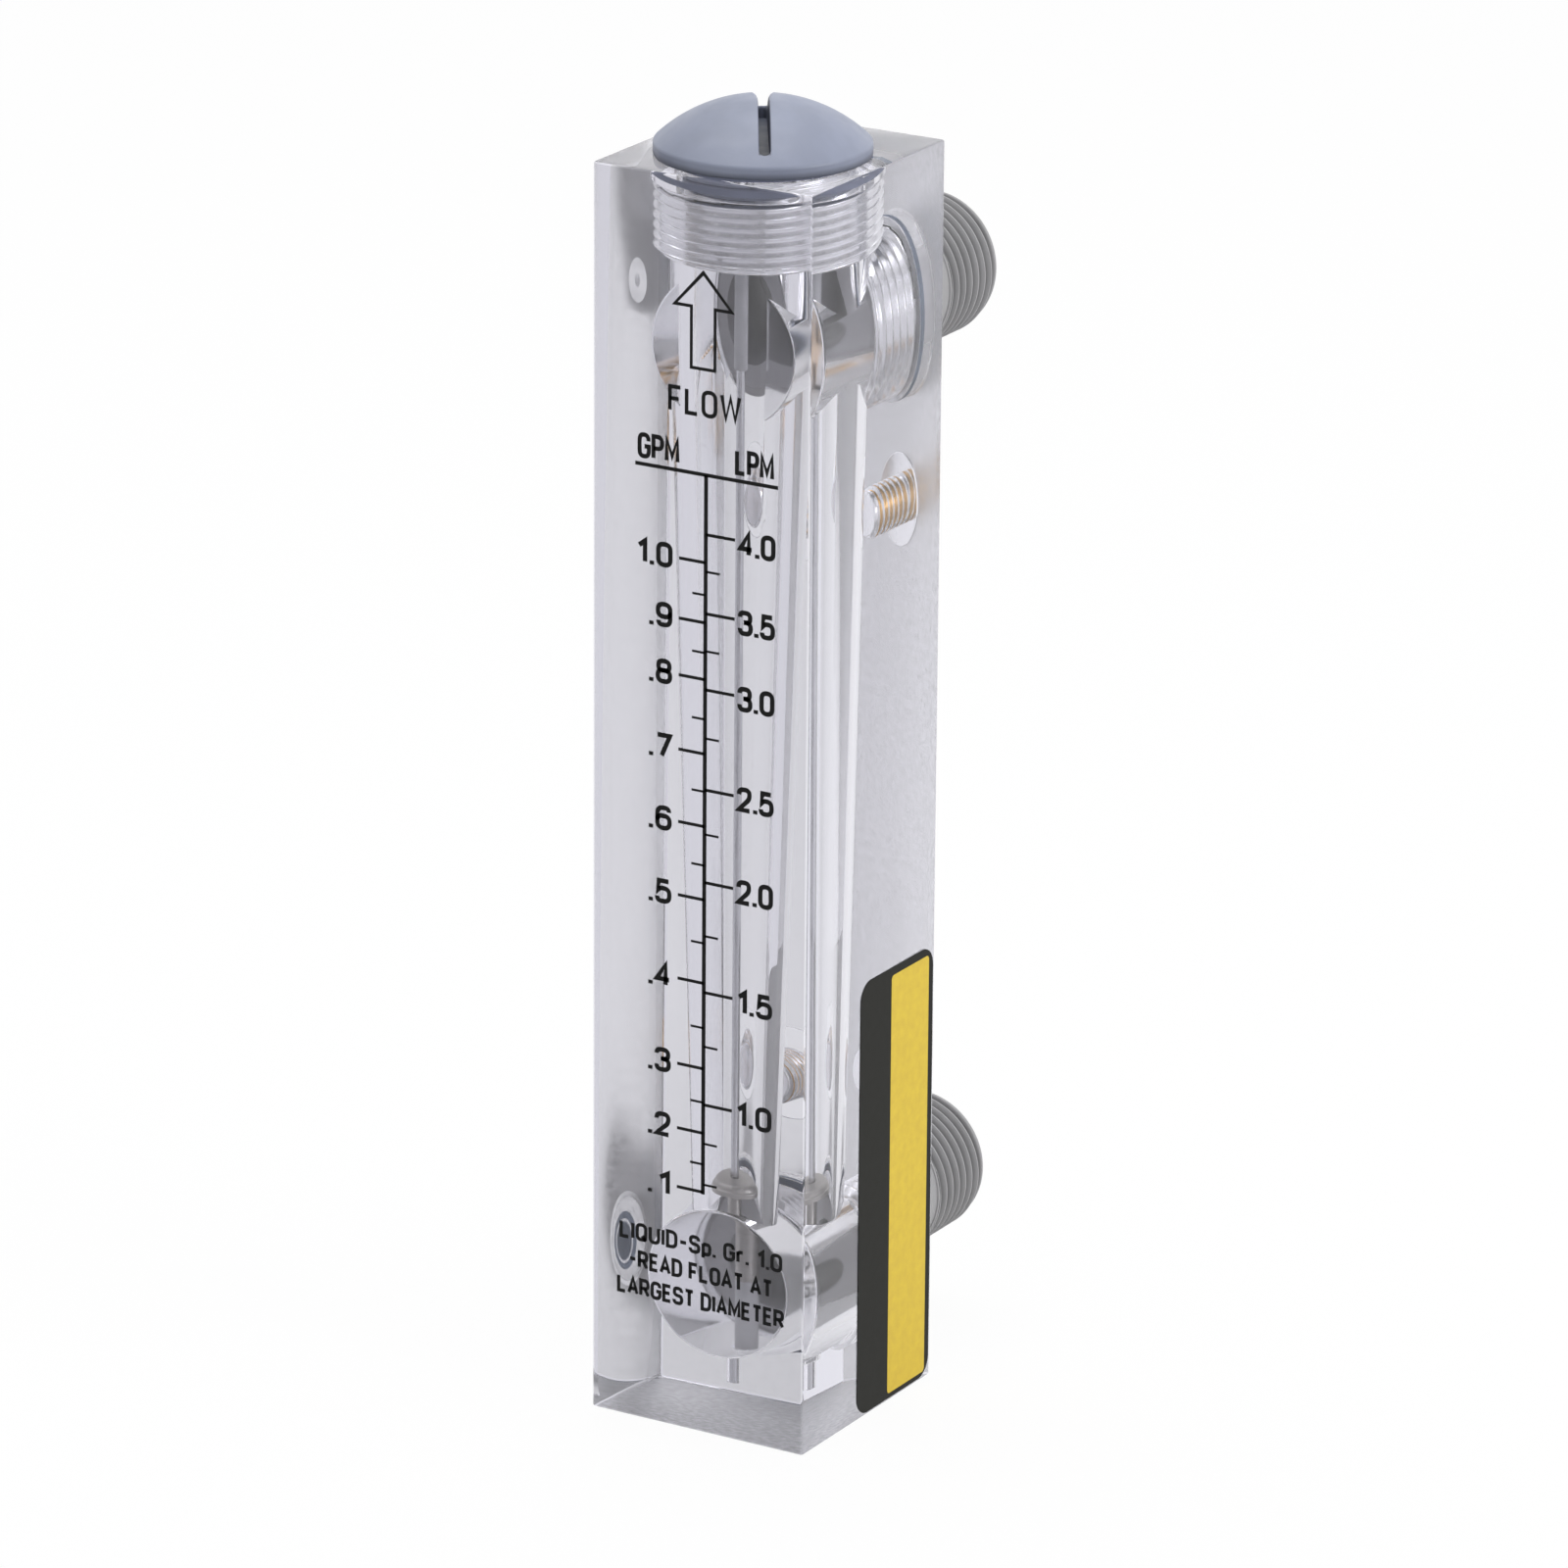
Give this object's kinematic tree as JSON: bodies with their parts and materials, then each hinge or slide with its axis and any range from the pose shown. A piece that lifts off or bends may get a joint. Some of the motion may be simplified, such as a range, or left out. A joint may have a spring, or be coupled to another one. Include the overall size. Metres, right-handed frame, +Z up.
{
  "type": "rotameter",
  "caption": "Clear acrylic block flow meter with a float on a guide rod in a tapered bore, a printed flow scale and threaded ports at the back.",
  "frame": {"origin": "centre of the block's base face", "axes": "+Z up along the block, -Y towards the reader of the scale, +Y the way the ports point, +X to the reader's right"},
  "size_m": [0.0347, 0.0643, 0.1898],
  "materials": {
    "clear_acrylic": "polished clear acrylic with a faint violet-grey tint",
    "rod_steel": "drawn stainless steel",
    "stop_sleeve": "natural white plastic sleeve",
    "float_steel": "turned stainless steel, satin",
    "plug_plastic": "blue-grey moulded plastic, semi-matte",
    "seal_rubber": "dark slate rubber",
    "connector_plastic": "grey moulded plastic, satin",
    "insert_brass": "turned brass, threaded outside and inside",
    "label_film": "printed film, charcoal and yellow"
  },
  "bodies": {
    "meter": {"meter_block": "clear_acrylic", "guide_rod": "rod_steel", "lower_stop": "stop_sleeve", "upper_stop": "stop_sleeve", "top_plug": "plug_plastic", "plug_seal": "seal_rubber", "inlet_connector": "connector_plastic", "inlet_seal": "seal_rubber", "outlet_connector": "connector_plastic", "outlet_seal": "seal_rubber", "lower_insert": "insert_brass", "upper_insert": "insert_brass", "side_label": "label_film"},
    "float_body": {"float": "float_steel"}
  },
  "joints": [
    {"name": "float_slide", "type": "slide", "parent": "meter", "child": "float_body", "axis": [0, 0, 1], "range_m": [0, 0.1156]}
  ]
}
